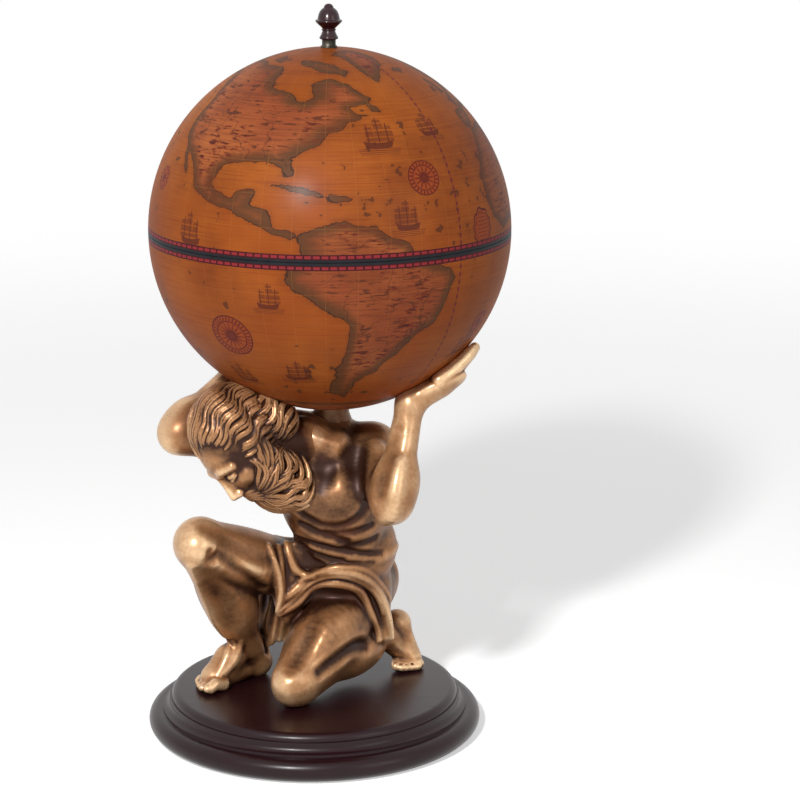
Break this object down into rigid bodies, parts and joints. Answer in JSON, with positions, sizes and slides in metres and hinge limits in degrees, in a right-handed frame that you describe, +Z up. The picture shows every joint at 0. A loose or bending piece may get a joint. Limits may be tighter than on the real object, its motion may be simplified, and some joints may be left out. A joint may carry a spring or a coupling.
{
  "type": "floor globe bar",
  "caption": "Free-standing bar in an antique-map globe that opens on a rear hinge, carried on the shoulders of a kneeling bronze figure on a round turned plinth.",
  "frame": {"origin": "centre of the plinth's felt underside, on the floor", "axes": "+Z up, -Y towards the figure's front and the viewer, +X to the viewer's right; the lid's hinge is at the back, +Y"},
  "size_m": [0.4323, 0.4259, 0.8687],
  "materials": {
    "figure_bronze": "cast resin in antique bronze paint, rubbed back on the high places, dark in the hollows",
    "dark_mahogany": "turned wood stained dark mahogany, satin lacquer",
    "map_print": null,
    "black_rim": "black lacquered rim",
    "rack_wood": "stained plywood, satin lacquer",
    "brass": "polished brass",
    "steel": "zinc plated",
    "base_felt": "glued green felt"
  },
  "bodies": {
    "root": {"plinth": "dark_mahogany", "plinth_felt": "base_felt", "base_screw_1": "steel", "base_screw_2": "steel", "base_screw_3": "steel", "figure_trunk": "figure_bronze", "figure_head": "figure_bronze", "figure_left_leg": "figure_bronze", "figure_right_leg": "figure_bronze", "figure_left_arm": "figure_bronze", "figure_right_arm": "figure_bronze", "globe_saddle": "figure_bronze", "globe_bolt": "steel", "globe_washer": "steel", "lower_shell": "map_print", "lower_rim": "black_rim", "rack_ledge": "rack_wood", "rack_plate": "rack_wood", "bottle_floor": "rack_wood", "hinge_leaf_lower": "brass", "hinge_pin": "brass", "hinge_screw_lower_1": "brass", "hinge_screw_lower_2": "brass", "stay_guide": "brass", "stay_guide_screw_1": "brass", "stay_guide_screw_2": "brass"},
    "lid": {"lid_shell": "map_print", "lid_rim": "black_rim", "hinge_leaf_lid": "brass", "hinge_screw_lid_1": "brass", "hinge_screw_lid_2": "brass", "quadrant_stay": "brass", "stay_screw_1": "brass", "stay_screw_2": "brass", "finial_collar": "steel", "finial": "dark_mahogany", "finial_stud": "steel", "finial_washer": "steel", "finial_nut": "steel"}
  },
  "joints": [
    {"name": "lid_hinge", "type": "hinge", "parent": "root", "child": "lid", "pos_m": [0.0224, 0.2131, 0.6092], "axis": [-1, 0, 0], "range_deg": [0, 65]}
  ]
}
